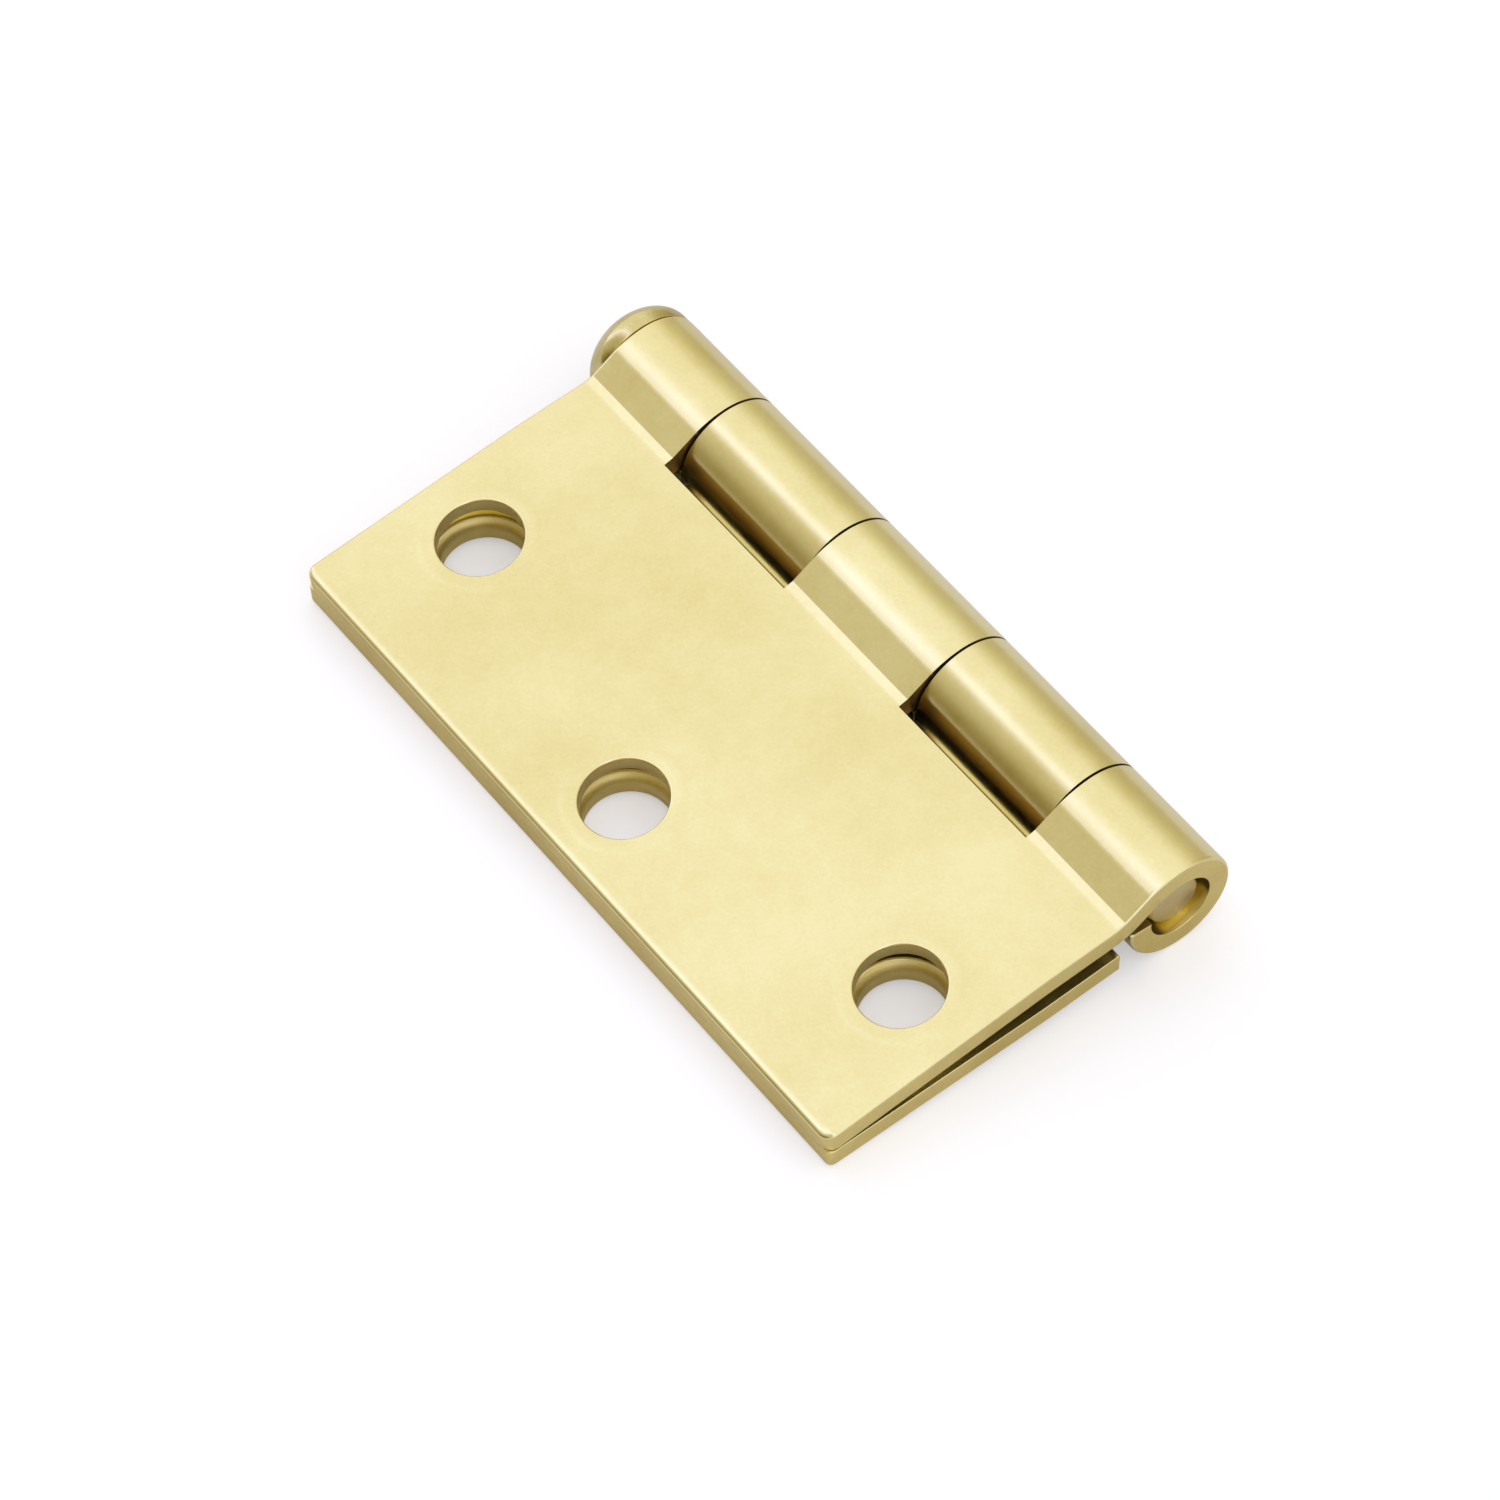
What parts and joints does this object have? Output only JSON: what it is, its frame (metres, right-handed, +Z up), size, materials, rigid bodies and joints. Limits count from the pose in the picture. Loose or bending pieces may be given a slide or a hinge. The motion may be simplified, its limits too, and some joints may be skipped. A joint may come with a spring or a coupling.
{
  "type": "door hinge",
  "caption": "Square butt hinge: two swaged sheet-metal leaves curled into interlocking knuckles on a round-headed pin, with countersunk screw holes.",
  "frame": {"origin": "on the surface that the closed hinge lies on, under the middle of its box", "axes": "+X along the pin from its head to its tip, +Y from the leaves' free edges to the barrel, +Z up off the surface"},
  "size_m": [0.0804, 0.0436, 0.0109],
  "materials": {
    "leaf_plating": "satin plated",
    "pin_plating": "polished plated"
  },
  "bodies": {
    "lower_leaf": {"two_knuckle_leaf": "leaf_plating"},
    "upper_leaf": {"three_knuckle_leaf": "leaf_plating"},
    "pin": {"hinge_pin": "pin_plating"}
  },
  "joints": [
    {"name": "leaf_swing", "type": "hinge", "parent": "lower_leaf", "child": "upper_leaf", "pos_m": [0.00205, 0.01638, 0.00547], "axis": [-1, 0, 0], "range_deg": [0, 302]},
    {"name": "pin_draw", "type": "slide", "parent": "upper_leaf", "child": "pin", "axis": [-1, 0, 0], "range_m": [0, 0.085]}
  ]
}
